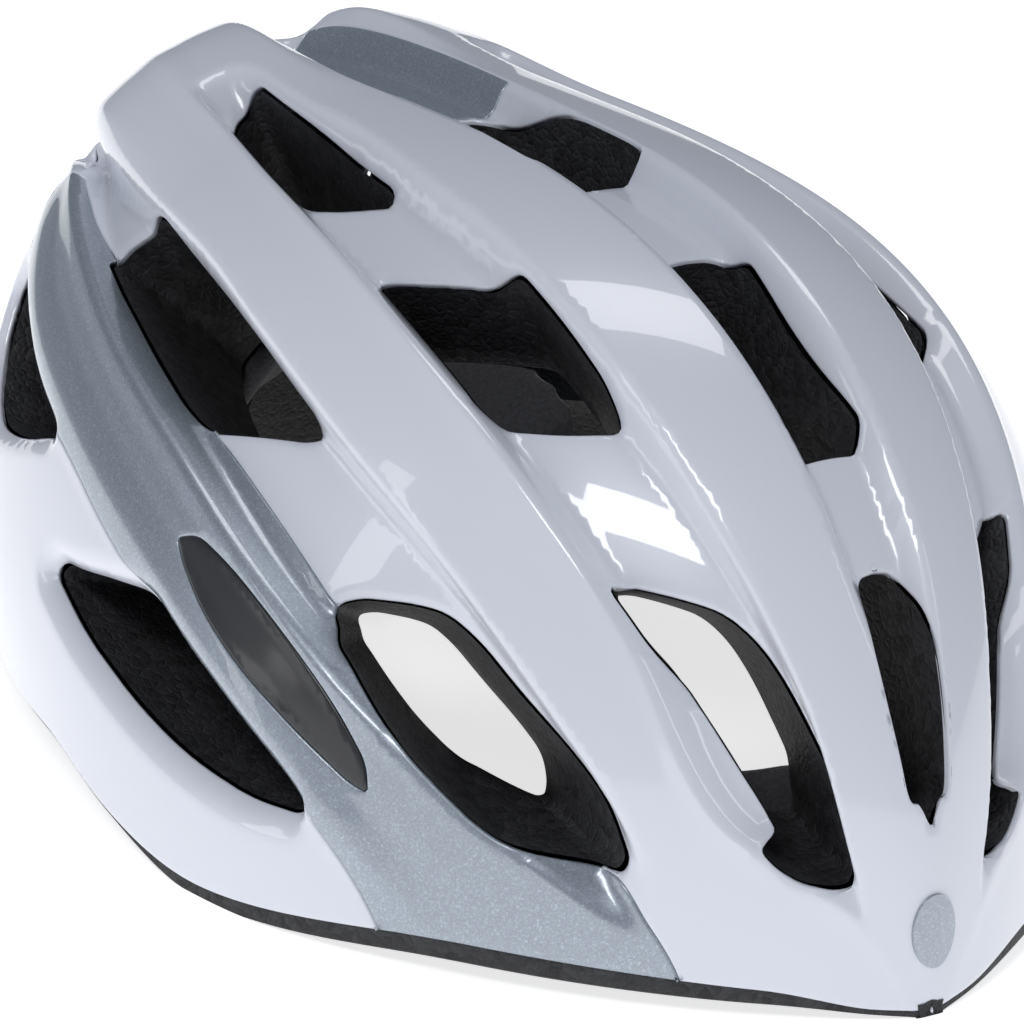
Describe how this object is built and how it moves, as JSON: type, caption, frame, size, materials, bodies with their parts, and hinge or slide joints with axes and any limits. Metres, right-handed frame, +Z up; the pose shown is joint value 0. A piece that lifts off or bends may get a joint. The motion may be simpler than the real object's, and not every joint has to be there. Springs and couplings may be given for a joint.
{
  "type": "cycling helmet",
  "caption": "Vented adult road cycling helmet with foam liner, thin outer shells, padding, straps with a clip buckle and a dial-tightened headband.",
  "frame": {"origin": "under the middle of the helmet, on the level surface that the rim of the foam liner rests on", "axes": "+Z up, -Y towards the wearer's front, +X towards the wearer's left"},
  "size_m": [0.2152, 0.2917, 0.1345],
  "materials": {
    "eps_foam": "matt moulded bead foam",
    "shell_white": "gloss pearl white",
    "band_silver": "metallic silver-blue flake",
    "inset_black": "gloss black",
    "plaque": "satin silver",
    "pad_fabric": "knitted pad cover",
    "hook_disc": "hook fastener",
    "webbing": "woven webbing",
    "buckle_plastic": "satin acetal",
    "pin_steel": "steel pin",
    "cradle_plastic": "satin nylon",
    "dial_rubber": "soft-touch dial"
  },
  "bodies": {
    "helmet": {"brow_pad": "pad_fabric", "buckle_female": "buckle_plastic", "chin_strap_left": "webbing", "chin_strap_right": "webbing", "crown_pad": "pad_fabric", "divider_pin_left": "pin_steel", "divider_pin_right": "pin_steel", "eps_liner": "eps_foam", "front_plaque": "plaque", "front_strap_anchors": "buckle_plastic", "front_strap_left": "webbing", "front_strap_right": "webbing", "height_strip": "cradle_plastic", "lower_shell": "shell_white", "outer_shell": "shell_white", "pad_hook_dots": "hook_disc", "rear_channel_panel": "band_silver", "rear_pad_left": "pad_fabric", "rear_pad_right": "pad_fabric", "rear_strap_anchors": "buckle_plastic", "rear_strap_left": "webbing", "rear_strap_right": "webbing", "side_band_left": "band_silver", "side_band_right": "band_silver", "side_inset_left": "inset_black", "side_inset_right": "inset_black", "side_pad_left": "pad_fabric", "side_pad_right": "pad_fabric", "strap_divider_left": "buckle_plastic", "strap_divider_right": "buckle_plastic", "temple_anchors": "buckle_plastic"},
    "divider_lever_left": {"divider_lever_left": "buckle_plastic"},
    "divider_lever_right": {"divider_lever_right": "buckle_plastic"},
    "buckle_latch": {"buckle_male": "buckle_plastic"},
    "keeper": {"keeper_ring": "buckle_plastic"},
    "cradle": {"cradle_housing": "cradle_plastic", "cradle_cover": "cradle_plastic", "cover_screws": "pin_steel", "cradle_pad": "pad_fabric", "click_ring": "cradle_plastic", "headband_left": "cradle_plastic", "headband_right": "cradle_plastic"},
    "dial": {"dial_knob": "dial_rubber", "dial_pinion": "cradle_plastic"},
    "rack_left": {"rack_left": "cradle_plastic"},
    "rack_right": {"rack_right": "cradle_plastic"}
  },
  "joints": [
    {"name": "lever_left", "type": "hinge", "parent": "helmet", "child": "divider_lever_left", "pos_m": [0.0613, -0.03, 0.0105], "axis": [0, 0, 1], "range_deg": [-100, 0]},
    {"name": "lever_right", "type": "hinge", "parent": "helmet", "child": "divider_lever_right", "pos_m": [-0.0613, -0.03, 0.0105], "axis": [0, 0, 1], "range_deg": [0, 100]},
    {"name": "latch_slide", "type": "slide", "parent": "helmet", "child": "buckle_latch", "axis": [-1, 0, 0], "range_m": [0, 0.016], "deforming": ["chin_strap_right"]},
    {"name": "keeper_slide", "type": "slide", "parent": "buckle_latch", "child": "keeper", "axis": [1, 0, 0], "range_m": [-0.003, 0.001]},
    {"name": "cradle_height", "type": "hinge", "parent": "helmet", "child": "cradle", "pos_m": [0, -0.057, 0.026], "axis": [1, 0, 0], "range_deg": [-3.5, 3.5]},
    {"name": "dial_turn", "type": "hinge", "parent": "cradle", "child": "dial", "pos_m": [0, 0.066, 0.022], "axis": [0, 1, 0], "range_deg": [-75, 75]},
    {"name": "rack_left_slide", "type": "slide", "parent": "cradle", "child": "rack_left", "axis": [1, 0, 0], "range_m": [-0.006, 0.006], "deforming": ["headband_left"]},
    {"name": "rack_right_slide", "type": "slide", "parent": "cradle", "child": "rack_right", "axis": [-1, 0, 0], "range_m": [-0.006, 0.006], "deforming": ["headband_right"]}
  ],
  "couplings": [
    {"joint": "rack_left_slide", "follows": "dial_turn", "m_per_rad": 0.0045},
    {"joint": "rack_right_slide", "follows": "dial_turn", "m_per_rad": 0.0045}
  ]
}
